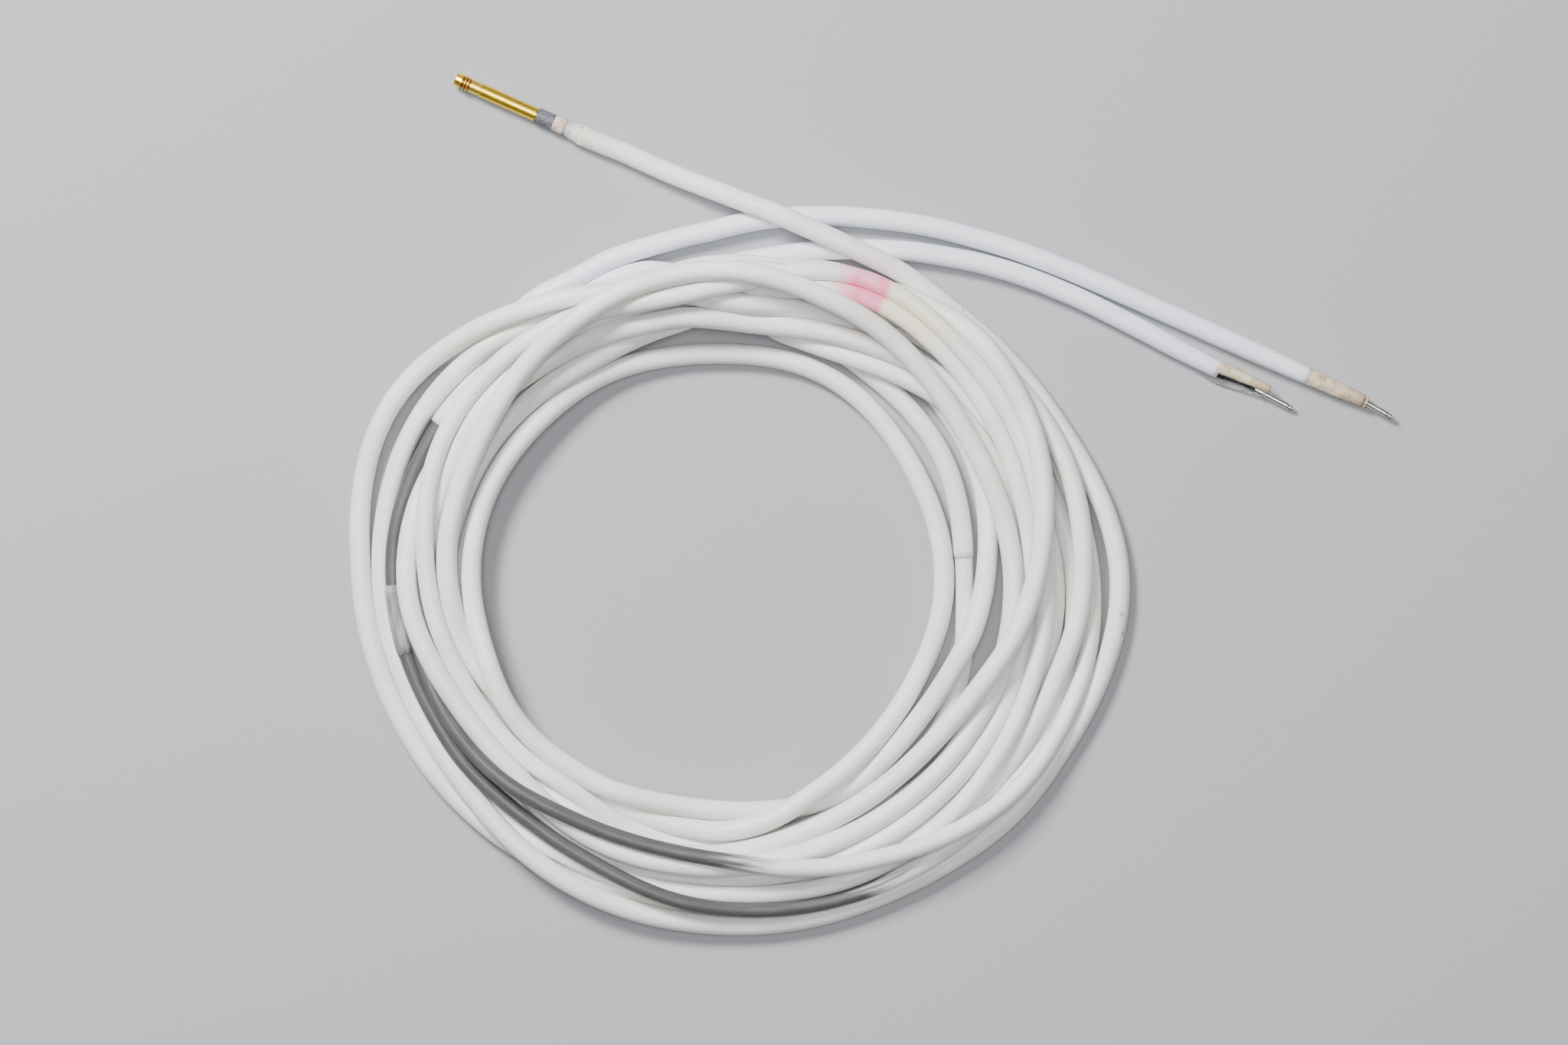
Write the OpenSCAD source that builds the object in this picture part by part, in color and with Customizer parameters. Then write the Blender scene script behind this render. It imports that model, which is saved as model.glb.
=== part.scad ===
/* [Cable] */
// Outside diameter of the white silicone sleeve
cable_d = 5.0; // [4.8:0.1:5.2]
// Diameter of the thin grey leads
grey_d = 3.6; // [3.2:0.1:3.8]
// Diameter of a leg's sleeve where its boot starts
leg_end_d = 4.2; // [4.0:0.1:4.6]
// Height of the coil where it is thickest
coil_h = 14; // [12:0.5:16]

/* [Plug] */
// Outside diameter of the gold barrel
barrel_d = 3.4; // [3.3:0.05:3.6]
// Length of the gold barrel
barrel_len = 14.8; // [14:0.1:15]
// Diameter of the head at its end face
head_d = 3.0; // [2.8:0.1:3.2]
// Diameter of the head where it flares
head_flare_d = 3.5; // [3.4:0.1:3.6]
// Length of the head
head_len = 1.8; // [1.6:0.1:1.9]
// Diameter over the thread crests
thread_d = 3.8; // [3.6:0.1:4.0]
// Distance from one thread crest to the next
thread_pitch = 0.75; // [0.6:0.05:0.8]
// Diameter of the collar behind the thread
collar_d = 3.2; // [3.1:0.05:3.3]
// Diameter of the stem that the shell turns on
stem_d = 2.3; // [2.1:0.1:2.3]
// Radial clearance between the shell and the stem
running_gap = 0.05; // [0.03:0.01:0.08]

/* [Leg ends] */
// Diameter of the two nickel pins
pin_d = 1.6; // [1.5:0.1:1.6]
// Length of pin that stands out of its boot
pin_len = 7.6; // [7:0.1:8]
// Length of the boot on leg A
boot_a_len = 14.2; // [13:0.2:15]
// Length of the boot on leg B
boot_b_len = 12.6; // [12:0.2:13]

/* [Hidden] */
$fn = 48;

cable_r = cable_d / 2;
grey_r = grey_d / 2;

// Colours
gold = [0.86, 0.66, 0.22];
nickel = [0.72, 0.70, 0.66];
copper = [0.72, 0.45, 0.28];
silicone = [0.93, 0.93, 0.91];
leg_white = [0.93, 0.94, 0.97];
lead_grey = [0.38, 0.37, 0.37];
tan = [0.78, 0.70, 0.58];

// Where the plug's end face is, and the way the plug points back along the cable
plug_at = [-100.6, 102.2, cable_r];
plug_heading = -24;

// Stations along the plug, measured back from its end face
bush_at = head_len;
collar_at = 4.0;
barrel_at = 6.6;
barrel_end = barrel_at + barrel_len;
shell_gap = 0.2;
band_at = 26.0;
relief_at = 29.1;
relief_end = 33.0;

// Inside the plug
shank_r = 1.0;
shank_end = 8.0;
spigot_r = 1.3;
spigot_end = 9.4;
bore_r = stem_d / 2 + running_gap;
stem_at = 9.6;
stem_end = 24.0;
snap_at = 17.0;
snap_t = 0.5;
snap_depth = 0.25;
core_r = 1.0;

// Leg A's end: where its sleeve stops, the way its boot points and the way its pin points
leg_a_end = [105.6, 30.2, cable_r];
boot_a_heading = -24;
pin_a_heading = -30;
// Leg B's end: its boot has slipped off to one side, so its pin stands beside the boot
boot_b_at = [84.4, 32.4, 3.6];
boot_b_heading = -24.5;
pin_b_at = [94.6, 26.2, 1.85];
pin_b_heading = -28;
boot_bore_r = 1.1;
pin_cup_r = 1.05;
pin_seat = 0.8;
wire_r = 0.45;

// Routes of the cable where it isn't coiled, from each fitting to the coil
trunk_route = [
    [-70.4, 88.7, 2.5], [-66.5, 87.0, 2.5], [-59, 84, 2.7], [-48, 79, 3.6], [-36, 74.2, 5.6],
    [-24, 69.4, 7.5], [-14, 65.2, 8.0], [-4, 60.6, 8.0], [5, 56, 8.2], [13, 50, 9.0], [20, 43.5, 9.5]
];
leg_a_route = [
    [105.6, 30.2, 2.5], [96, 34.5, 2.5], [82, 40.8, 2.5], [67, 47.5, 2.5], [52, 54.1, 2.5],
    [44, 57.4, 2.5], [37, 60.0, 2.5], [30, 62.3, 2.5], [15, 66.3, 2.5], [0, 68.5, 2.5],
    [-15, 69.1, 2.5], [-29, 67.8, 2.5], [-44, 64.0, 2.5], [-59, 58.6, 2.5], [-72, 52, 2.5]
];
leg_b_route = [
    [83.8, 31.8, 2.5], [74, 36.8, 2.5], [66, 41.1, 2.5], [52, 48.2, 2.5], [44, 51.7, 2.5],
    [37, 54.4, 2.5], [30, 56.6, 2.5], [22, 58.5, 2.5], [8, 60.6, 2.5], [-8, 61.0, 2.5],
    [-22, 59.6, 2.5], [-36, 57.0, 2.5], [-48, 53, 2.5]
];

// Routes of the thin grey leads, which lie in the top of the coil
grey_a_route = [
    [-105, -44, 7.5], [-97, -53, 9.5], [-86, -65, 11], [-74, -73, 11], [-59, -79, 11],
    [-44, -83.5, 11], [-29, -87, 10.5]
];
grey_b_route = [
    [-108, 10, 10], [-113, -4, 10], [-115, -20, 10], [-112, -36, 10], [-106, -48, 10],
    [-97, -60, 10], [-86, -71.5, 10], [-72, -81.5, 10], [-59, -88, 10], [-40, -94.5, 9.5],
    [-21, -96.5, 9.5], [-2, -93, 9.5], [9, -88, 9.5]
];
splice_route = [[-115, -20, 10], [-114.4, -27, 10], [-112, -36, 10]];

// The coil: its hole and its outline are two ellipses whose centres differ
hole_at = [-40, -20];
hole_size = [55, 53];
outline_at = [-32.3, -22.3];
outline_size = [94, 81.1];
coil_steps = 60;
coil_end_h = 11;

// The joint of the trunk and the two legs lies in the bottom of the coil, on its upper side
joint_at = [-44, 46, 3.2];
joint_heading = 4;
joint_len = 24;
sleeve_joint_at = [22.6, -13.3, 8.0];
sleeve_joint_heading = 96;

// Catmull-Rom curve through hand-set points
function spline(a, b, c, d, t) = 0.5 * (2 * b + (c - a) * t
    + (2 * a - 5 * b + 4 * c - d) * t * t + (3 * b - a - 3 * c + d) * t * t * t);
function smooth_route(pts, n) = let (last = len(pts) - 1) [
    for (i = [0:last - 1], k = [0:n - 1])
        spline(pts[max(i - 1, 0)], pts[i], pts[i + 1], pts[min(i + 2, last)], k / n),
    pts[last]
];
function unit(v) = v / norm(v);
function travel(pts, i) = unit(pts[min(i + 1, len(pts) - 1)] - pts[max(i - 1, 0)]);

// Points of a ring of radius r and n sides, square to the route at its point i
function ring_points(pts, i, r, n) = let (
    t = travel(pts, i), side = unit(cross([0, 0, 1], t)), up = cross(t, side)
) [for (k = [0:n - 1]) pts[i] + r * (cos(360 * k / n) * side + sin(360 * k / n) * up)];

// A closed tube along a route. Each route point carries its own ring.
module tube(pts, r, n = 12) {
    rings = len(pts);
    corners = [for (i = [0:rings - 1]) each ring_points(pts, i, r, n)];
    walls = [for (i = [0:rings - 2], k = [0:n - 1]) let (m = (k + 1) % n)
        [i * n + k, (i + 1) * n + k, (i + 1) * n + m, i * n + m]];
    caps = [[for (k = [0:n - 1]) k], [for (k = [n - 1:-1:0]) (rings - 1) * n + k]];
    polyhedron(corners, concat(walls, caps), convexity = 8);
}

// Turns a solid drawn along +Z to lie along a heading, with its base a distance s from a point
module along(point, heading, s = 0) {
    translate(point) rotate([0, 90, heading]) translate([0, 0, s]) children();
}
module on_plug(s = 0) { along(plug_at, plug_heading, s) children(); }

// A hollow round piece from station a to station b of its axis
module pipe(a, b, r_out, r_in) {
    difference() {
        translate([0, 0, a]) cylinder(h = b - a, r = r_out);
        translate([0, 0, a - 1]) cylinder(h = b - a + 2, r = r_in);
    }
}

// ---------- plug shell, which turns ----------

module plug_tip() {
    slot_w = 0.35;
    slot_depth = 1.2;
    slot_turn = 17.5;
    edge = 0.12;
    color(gold) on_plug() difference() {
        rotate_extrude() polygon([
            [0, 0], [head_d / 2 - edge, 0], [head_d / 2, edge], [head_flare_d / 2, head_len - 0.25],
            [head_flare_d / 2, head_len], [shank_r, head_len], [shank_r, shank_end], [0, shank_end]
        ]);
        rotate([0, 0, slot_turn]) translate([-3, -slot_w / 2, -1]) cube([6, slot_w, slot_depth + 1]);
    }
}

module threaded_bush() {
    root_r = 1.5;
    crest_w = 0.12;
    groove_r = 1.45;
    crests = [for (i = [0:1]) bush_at + (i + 1) * thread_pitch];
    profile = [
        [shank_r, bush_at], [root_r, bush_at],
        for (c = crests) each [
            [root_r, c - 0.3], [thread_d / 2, c - crest_w / 2],
            [thread_d / 2, c + crest_w / 2], [root_r, c + 0.3]
        ],
        [root_r, collar_at - 0.1], [collar_d / 2, collar_at], [collar_d / 2, barrel_at - 0.25],
        [groove_r, barrel_at - 0.2], [groove_r, barrel_at], [spigot_r, barrel_at],
        [spigot_r, spigot_end], [shank_r, spigot_end]
    ];
    color(gold) on_plug() rotate_extrude() polygon(profile);
}

module plug_barrel() {
    bead = 0.04;
    groove_r = 1.5;
    r = barrel_d / 2;
    a = snap_at - 0.1;
    b = snap_at + snap_t + 0.1;
    color(gold) on_plug() rotate_extrude() polygon([
        [spigot_r, barrel_at], [r + bead - 0.1, barrel_at], [r + bead, barrel_at + 0.1],
        [r + bead, barrel_at + 0.4], [r, barrel_at + 0.5], [r, barrel_end - 0.1],
        [r - 0.1, barrel_end], [bore_r, barrel_end], [bore_r, b], [groove_r, b],
        [groove_r, a], [bore_r, a], [bore_r, spigot_end], [spigot_r, spigot_end]
    ]);
}

// ---------- core and crimp, which stay with the cable ----------

// Cone washers, turned about in pairs, that press the turning shank and the still stem apart
module spring_washers() {
    count = 4;
    r_in = 0.35;
    r_out = 0.92;
    rise = 0.22;
    t = 0.12;
    pitch = rise + t + 0.04;
    first = shank_end + 0.05;
    color(nickel) on_plug() for (i = [0:count - 1]) {
        lift_in = i % 2 == 0 ? rise : 0;
        lift_out = rise - lift_in;
        translate([0, 0, first + i * pitch]) rotate_extrude() polygon([
            [r_in, lift_in], [r_out, lift_out], [r_out, lift_out + t], [r_in, lift_in + t]
        ]);
    }
}

module contact_stem() {
    r = stem_d / 2;
    cup_floor = stem_end - 2.0;
    color(nickel) on_plug() rotate_extrude() polygon([
        [0, stem_at], [r - 0.2, stem_at], [r, stem_at + 0.2], [r, snap_at],
        [r - snap_depth, snap_at], [r - snap_depth, snap_at + snap_t], [r, snap_at + snap_t],
        [r, stem_end], [core_r, stem_end], [core_r, cup_floor], [0, cup_floor]
    ]);
}

module retaining_ring() {
    r_out = 1.42;
    gap_w = 0.6;
    color(nickel) on_plug() difference() {
        pipe(snap_at, snap_at + snap_t, r_out, stem_d / 2 - snap_depth);
        translate([0, -gap_w / 2, snap_at - 1]) cube([3, gap_w, 3]);
    }
}

module crimp_sleeve() {
    r = 1.93;
    color([0.36, 0.37, 0.40]) on_plug()
        pipe(barrel_end + shell_gap, band_at, r, stem_d / 2);
}

module crimp_band() {
    r = 2.1;
    color([0.80, 0.70, 0.58]) on_plug() rotate_extrude() polygon([
        [stem_d / 2, band_at], [r - 0.15, band_at], [r, band_at + 0.3], [r, relief_at - 0.8],
        [1.8, relief_at - 0.1], [stem_d / 2, relief_at - 0.1]
    ]);
}

module strain_relief() {
    color([0.84, 0.85, 0.82]) on_plug() rotate_extrude() polygon([
        [core_r, relief_at], [1.75, relief_at], [2.0, relief_at + 0.7], [2.3, relief_at + 1.7],
        [cable_r, relief_at + 3.0], [cable_r, relief_end], [core_r, relief_end]
    ]);
}

module trunk_core() {
    core_at = stem_end - 2.0;
    color(silicone) on_plug(core_at) cylinder(h = relief_end - core_at, r = core_r);
}

// ---------- cable ----------

module trunk_sleeve() { color(silicone) tube(smooth_route(trunk_route, 1), cable_r); }
module leg_a_sleeve() { color(leg_white) tube(smooth_route(leg_a_route, 1), cable_r); }
module leg_b_sleeve() { color(leg_white) tube(smooth_route(leg_b_route, 1), cable_r); }
module grey_lead_a() { color(lead_grey) tube(smooth_route(grey_a_route, 1), grey_r, 8); }
module grey_lead_b() { color(lead_grey) tube(smooth_route(grey_b_route, 1), grey_r, 8); }
module splice_sleeve() { color([0.66, 0.66, 0.66]) tube(splice_route, grey_r + 0.25, 10); }

// A ring with rounded edges and a flat foot, between the hole's ellipse and the outline's
module cable_coil() {
    section = [[0.03, 0.0], [0.97, 0.0], [1, 0.2], [1, 0.55], [0.9, 0.85], [0.7, 1.0],
        [0.3, 1.0], [0.1, 0.85], [0, 0.55], [0, 0.2]];
    n = len(section);
    function inner(t) = hole_at + [hole_size[0] * cos(t), hole_size[1] * sin(t)];
    function outer(t) = outline_at + [outline_size[0] * cos(t), outline_size[1] * sin(t)];
    function height(t) = coil_end_h + (coil_h - coil_end_h) * (0.5 + 0.5 * sin(t));
    corners = [for (i = [0:coil_steps - 1]) let (t = 360 * i / coil_steps)
        for (s = section) let (p = inner(t) + (outer(t) - inner(t)) * s[0])
            [p[0], p[1], height(t) * s[1]]];
    faces = [for (i = [0:coil_steps - 1], k = [0:n - 1])
        let (j = (i + 1) % coil_steps, m = (k + 1) % n)
            [i * n + k, i * n + m, j * n + m, j * n + k]];
    color(silicone) polyhedron(corners, faces, convexity = 8);
}

// Moulded wedge with one way in and two ways out, side by side
module y_joint() {
    half = joint_len / 2;
    out_gap = 2.7;
    color(silicone) translate(joint_at) rotate([0, 0, joint_heading]) hull() {
        translate([-half, 0, 0]) rotate([0, 90, 0]) cylinder(h = 2, r = 2.9, $fn = 24);
        for (side = [-1, 1])
            translate([half - 2, side * out_gap, 0]) rotate([0, 90, 0])
                cylinder(h = 2, r = 2.9, $fn = 24);
    }
}

module sleeve_joint() {
    color(silicone) along(sleeve_joint_at, sleeve_joint_heading, -6)
        pipe(0, 12, cable_r + 0.2, cable_r - 0.4);
}

// ---------- leg ends ----------

// A tapered boot from the sleeve's end to a narrow mouth
module boot(len, r_start, r_mid, r_mouth, bore) {
    rotate_extrude() polygon([
        [bore, 0], [r_start, 0], [r_mid, len * 0.55], [r_mouth, len - 0.4],
        [r_mouth - 0.15, len], [bore, len]
    ]);
}

// A turned pin: crimp cup at the back, plain shaft, groove, short nose and a slot across it
module pin(cup_len, cup_r) {
    r = pin_d / 2;
    groove_at = pin_len - 1.3;
    groove_r = r - 0.25;
    nose_r = r - 0.2;
    seat_r = r - 0.2;
    cup_floor = -0.5 * cup_len;
    difference() {
        rotate_extrude() polygon([
            [0, cup_floor], [wire_r, cup_floor], [wire_r, -cup_len], [cup_r, -cup_len],
            [cup_r, -0.3], [seat_r, 0], [seat_r, pin_seat], [r, pin_seat],
            [r, groove_at], [groove_r, groove_at + 0.05],
            [groove_r, groove_at + 0.3], [nose_r, groove_at + 0.35], [nose_r, pin_len - 0.15],
            [groove_r, pin_len], [0, pin_len]
        ]);
        rotate([0, 0, 60]) translate([-2, -0.12, pin_len - 0.7]) cube([4, 0.24, 2]);
    }
}

// Mouth of boot A: where its pin comes out
function heading_dir(a) = [cos(a), sin(a), 0];
mouth_a = leg_a_end + boot_a_len * heading_dir(boot_a_heading);
pin_a_at = 0.2;
cup_a_len = 5.0;
cup_b_len = 2.4;
cup_b_r = 1.0;
core_a_end = boot_a_len - cup_a_len - 0.8;

module leg_a_boot() {
    color(tan) difference() {
        along(leg_a_end, boot_a_heading)
            boot(boot_a_len, leg_end_d / 2, 1.85, 1.5, boot_bore_r);
        along(mouth_a, pin_a_heading, -cup_a_len - 0.3) cylinder(h = 8, r = boot_bore_r);
    }
}

module leg_a_lip() {
    color([0.80, 0.74, 0.55]) along(mouth_a, pin_a_heading) rotate_extrude() polygon([
        [pin_d / 2, 0.3], [1.3, 0.3], [1.55, 0.5], [1.55, 0.75], [1.4, 0.95], [pin_d / 2, 0.95]
    ]);
}

module leg_a_pin() { color(nickel) along(mouth_a, pin_a_heading, pin_a_at) pin(cup_a_len, pin_cup_r); }

module leg_a_core() {
    color(silicone) along(leg_a_end, boot_a_heading) pipe(0, core_a_end, core_r, wire_r);
}

// Strands that run through the core and into the pin's cup
module leg_a_wire() {
    cup_back = mouth_a + (pin_a_at - cup_a_len) * heading_dir(pin_a_heading);
    core_front = leg_a_end + core_a_end * heading_dir(boot_a_heading);
    wire_pts = [leg_a_end, core_front, cup_back, cup_back + 1.5 * heading_dir(pin_a_heading)];
    color(copper) tube(wire_pts, wire_r - 0.08, 8);
}

module leg_b_boot() {
    color(tan) along(boot_b_at, boot_b_heading) boot(boot_b_len, 1.5, 1.2, 0.9, 0.5);
}

module leg_b_pin() { color(nickel) along(pin_b_at, pin_b_heading) pin(cup_b_len, cup_b_r); }

module leg_b_rings() {
    ring_t = 0.35;
    color(nickel) for (s = [-0.75, -1.4])
        along(pin_b_at, pin_b_heading) pipe(s, s + ring_t, cup_b_r + 0.12, cup_b_r);
}

// Dark insulated core that bows out beside the boot, from the sleeve to the pin's cup
module leg_b_core() {
    core_pts = [
        [83.4, 30.7, 1.6], [85.8, 30.0, 1.4], [88.4, 29.2, 1.4], [90.6, 28.3, 1.6], [92.3, 27.4, 1.85]
    ];
    color([0.12, 0.11, 0.11]) tube(smooth_route(core_pts, 2), 0.65, 8);
}

// Bare strand that leaves the sleeve and bows out further than the core
module leg_b_strand() {
    strand_pts = [
        [79.6, 30.9, 0.5], [83, 28.8, 0.5], [86.4, 27.7, 0.7], [89.8, 26.8, 1.1], [92.7, 25.9, 1.4]
    ];
    color([0.35, 0.33, 0.31]) tube(smooth_route(strand_pts, 2), 0.2, 8);
}

plug_tip();
threaded_bush();
plug_barrel();
spring_washers();
contact_stem();
retaining_ring();
crimp_sleeve();
crimp_band();
strain_relief();
trunk_core();
trunk_sleeve();
cable_coil();
y_joint();
sleeve_joint();
grey_lead_a();
grey_lead_b();
splice_sleeve();
leg_a_sleeve();
leg_a_boot();
leg_a_lip();
leg_a_pin();
leg_a_core();
leg_a_wire();
leg_b_sleeve();
leg_b_boot();
leg_b_pin();
leg_b_rings();
leg_b_core();
leg_b_strand();
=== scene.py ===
import math

import bpy
import numpy as np
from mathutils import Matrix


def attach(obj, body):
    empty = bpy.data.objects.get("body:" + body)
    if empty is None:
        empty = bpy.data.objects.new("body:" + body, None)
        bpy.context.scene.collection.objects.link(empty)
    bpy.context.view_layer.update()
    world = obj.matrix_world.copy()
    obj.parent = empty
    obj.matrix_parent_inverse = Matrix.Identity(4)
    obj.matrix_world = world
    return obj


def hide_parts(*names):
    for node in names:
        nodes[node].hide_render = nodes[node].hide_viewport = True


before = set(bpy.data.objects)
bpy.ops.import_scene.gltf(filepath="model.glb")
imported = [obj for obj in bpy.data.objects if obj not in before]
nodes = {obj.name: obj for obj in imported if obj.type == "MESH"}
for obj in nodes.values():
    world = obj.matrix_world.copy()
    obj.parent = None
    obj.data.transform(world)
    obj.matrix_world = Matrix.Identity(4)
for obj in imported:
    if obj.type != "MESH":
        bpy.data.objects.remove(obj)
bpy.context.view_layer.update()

# ---------------------------------------------------------------- camera, light and floor
# The photograph looks straight down on 0.379 m of the table.
VIEW_WIDTH = 0.379
VIEW_CENTRE = (-0.0213, -0.0049)
CAMERA_HEIGHT = 1.7
# The lights point at this place on the floor, near the coil's middle.
LIGHT_TARGET = (-0.03, -0.01)
FLOOR_HALF = 3.0


def add_camera():
    """The camera that looks straight down at the photograph's framing."""
    data = bpy.data.cameras.new("camera")
    data.sensor_width = 36.0
    data.lens = data.sensor_width * CAMERA_HEIGHT / VIEW_WIDTH
    data.clip_start = 0.01
    camera = bpy.data.objects.new("camera", data)
    camera.location = (VIEW_CENTRE[0], VIEW_CENTRE[1], CAMERA_HEIGHT)
    bpy.context.scene.collection.objects.link(camera)
    bpy.context.scene.camera = camera


def add_softbox(name, place, size, power):
    """A square area light that points at the light target."""
    data = bpy.data.lights.new(name, "AREA")
    data.size = size
    data.energy = power
    light = bpy.data.objects.new(name, data)
    light.location = place
    away = light.location.copy()
    away.x -= LIGHT_TARGET[0]
    away.y -= LIGHT_TARGET[1]
    light.rotation_euler = away.to_track_quat("Z", "Y").to_euler()
    bpy.context.scene.collection.objects.link(light)


def add_light():
    """Soft studio light from above and from two sides, and a dim sky."""
    add_softbox("top_light", (-0.10, 0.10, 2.20), 0.60, 28.0)
    add_softbox("key_light", (-0.55, 0.66, 0.95), 0.35, 34.0)
    add_softbox("side_light", (0.80, -0.30, 0.85), 0.60, 2.5)
    world = bpy.data.worlds.new("studio")
    world.use_nodes = True
    sky = world.node_tree.nodes["Background"]
    sky.inputs["Color"].default_value = (0.90, 0.93, 1.0, 1.0)
    sky.inputs["Strength"].default_value = 0.10
    bpy.context.scene.world = world


def add_floor():
    """A plain pale floor."""
    mesh = bpy.data.meshes.new("floor")
    corners = [(x * FLOOR_HALF, y * FLOOR_HALF, 0) for x, y in ((-1, -1), (1, -1), (1, 1), (-1, 1))]
    mesh.from_pydata(corners, [], [(0, 1, 2, 3)])
    floor = bpy.data.objects.new("floor", mesh)
    bpy.context.scene.collection.objects.link(floor)
    paper = bpy.data.materials.new("floor_paper")
    paper.use_nodes = True
    shader = paper.node_tree.nodes["Principled BSDF"]
    shader.inputs["Base Color"].default_value = (0.36, 0.37, 0.39, 1.0)
    shader.inputs["Roughness"].default_value = 0.85
    mesh.materials.append(paper)


add_camera()
add_light()
add_floor()

# ---------------------------------------------------------------- where the cords run
# The stretches outside the coil are the CAD routes, in metres.
TRUNK_ROUTE = [
    (-0.0704, 0.0887, 0.0025), (-0.0665, 0.0870, 0.0025), (-0.0590, 0.0840, 0.0027),
    (-0.0480, 0.0790, 0.0036), (-0.0360, 0.0742, 0.0056), (-0.0240, 0.0694, 0.0075),
    (-0.0140, 0.0652, 0.0080), (-0.0040, 0.0606, 0.0080), (0.0050, 0.0560, 0.0082),
    (0.0130, 0.0500, 0.0090), (0.0200, 0.0435, 0.0095),
]
LEG_A_ROUTE = [
    (-0.0720, 0.0520, 0.0025), (-0.0590, 0.0586, 0.0025), (-0.0440, 0.0640, 0.0025),
    (-0.0290, 0.0678, 0.0025), (-0.0150, 0.0691, 0.0025), (0.0000, 0.0685, 0.0025),
    (0.0150, 0.0663, 0.0025), (0.0300, 0.0623, 0.0025), (0.0370, 0.0600, 0.0025),
    (0.0440, 0.0574, 0.0025), (0.0520, 0.0541, 0.0025), (0.0670, 0.0475, 0.0025),
    (0.0820, 0.0408, 0.0025), (0.0960, 0.0345, 0.0025), (0.1056, 0.0302, 0.0025),
]
LEG_B_ROUTE = [
    (-0.0480, 0.0530, 0.0025), (-0.0360, 0.0570, 0.0025), (-0.0220, 0.0596, 0.0025),
    (-0.0080, 0.0610, 0.0025), (0.0080, 0.0606, 0.0025), (0.0220, 0.0585, 0.0025),
    (0.0300, 0.0566, 0.0025), (0.0370, 0.0544, 0.0025), (0.0440, 0.0517, 0.0025),
    (0.0520, 0.0482, 0.0025), (0.0660, 0.0411, 0.0025), (0.0740, 0.0368, 0.0025),
    (0.0838, 0.0318, 0.0025),
]
# The joint that splits the trunk into two legs, hidden low in the coil.
JOINT_AT = np.array([-0.0440, 0.0460, 0.0032])
JOINT_HEADING = math.radians(4)
JOINT_HALF = 0.0120
OUTLET_OFFSET = 0.0027

# Each row is one turn, clockwise from the +Y direction in steps of 30 degrees: the distance from
# the coil's middle in millimetres, and how many cords it has under it.
COIL_MIDDLE = (-0.040, -0.020)
TABLE_STEP = 30.0
TRUNK_TURNS = [
    (92.0, 87.4, 90.6, 99.5, 90.0, 83.6, 80.4, 77.0, 73.4, 77.6, 79.6, 73.9),
    (72.3, 77.5, 90.3, 90.8, 84.0, 80.8, 76.6, 76.6, 79.5, 82.8, 87.4, 76.8),
    (70.5, 72.0, 73.0, 67.1, 60.7, 59.0, 55.5, 57.0, 58.2, 58.0, 58.0, 57.1),
    (55.9, 58.3, 57.3, 57.4, 55.4, 56.8, 61.4, 59.3, 57.7, 63.0, 65.0, 70.0),
    (74.9, 74.7, 72.5, 74.4, 74.0, 70.2, 68.6, 66.8, 65.5, 71.7, 69.5, 66.4),
    (68.0, 69.1, 76.5, 84.3, 81.5, 76.5, 71.0, 68.5, 66.5, 63.5, 62.5, 63.2),
    (68.0, 82.0, 86.5, 78.9, 67.5, 64.4, 66.0, 65.5, 61.5, 60.0, 58.2, 61.0),
    (67.0, 67.0),
]
TRUNK_LAYERS = [
    (4.0, 2.2, 1.0, 0.0, 0.0, 0.6, 2.0, 2.0, 1.0, 1.0, 0.0, 2.0),
    (2.2, 0.8, 3.0, 3.0, 2.0, 0.0, 0.0, 0.0, 0.0, 0.0, 0.0, 3.0),
    (2.0, 1.0, 0.0, 1.0, 0.0, 0.0, 0.0, 1.0, 1.0, 1.0, 2.0, 1.0),
    (0.0, 0.0, 0.0, 0.0, 1.0, 2.0, 1.0, 0.0, 0.0, 2.0, 3.0, 4.0),
    (5.0, 4.0, 2.0, 1.5, 1.0, 2.0, 2.0, 2.0, 2.5, 3.0, 0.5, 2.0),
    (4.2, 2.8, 0.0, 2.0, 0.5, 1.0, 1.0, 0.6, 1.6, 0.6, 0.0, 1.0),
    (1.5, 1.4, 4.0, 4.0, 3.0, 2.0, 1.0, 1.0, 0.0, 0.0, 0.0, 0.0),
    (0.0, 0.0),
]
LEG_A_TURNS = [
    (64.0, 66.3, 75.5, 76.0, 72.8, 67.5, 67.0, 66.5, 66.0, 68.0, 69.0, 69.5),
    (70.3, 80.8, 80.8, 78.3, 76.9, 74.0, 70.0, 67.7, 67.0, 66.0, 67.5, 68.0),
    (73.0, 82.2, 88.0, 92.0, 90.4, 76.4, 65.5, 63.8, 68.1, 71.0, 72.5, 79.3),
    (85.0, 90.0),
]
LEG_A_LAYERS = [
    (0.8, 1.2, 0.0, 0.0, 1.0, 0.0, 0.0, 0.0, 0.0, 0.0, 1.0, 0.0),
    (2.0, 3.2, 3.0, 2.0, 2.0, 1.0, 1.0, 1.0, 0.8, 0.0, 0.0, 0.0),
    (2.2, 1.2, 1.5, 1.0, 4.0, 4.0, 3.0, 3.0, 3.0, 1.0, 0.0, 0.0),
    (0.0, 0.0),
]
LEG_B_TURNS = [
    (68.0, 63.8, 64.8, 62.4, 66.0, 64.4, 64.5, 62.5, 64.3, 67.4, 72.2, 71.5),
    (70.3, 82.2, 83.3, 81.0, 81.5, 80.2, 73.0, 70.0, 69.5, 69.5, 70.0, 70.0),
    (72.0, 76.8, 83.4, 89.3, 88.6, 83.2, 76.1, 70.2, 71.9, 74.8, 75.2, 73.5),
    (76.0, 80.0),
]
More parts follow.
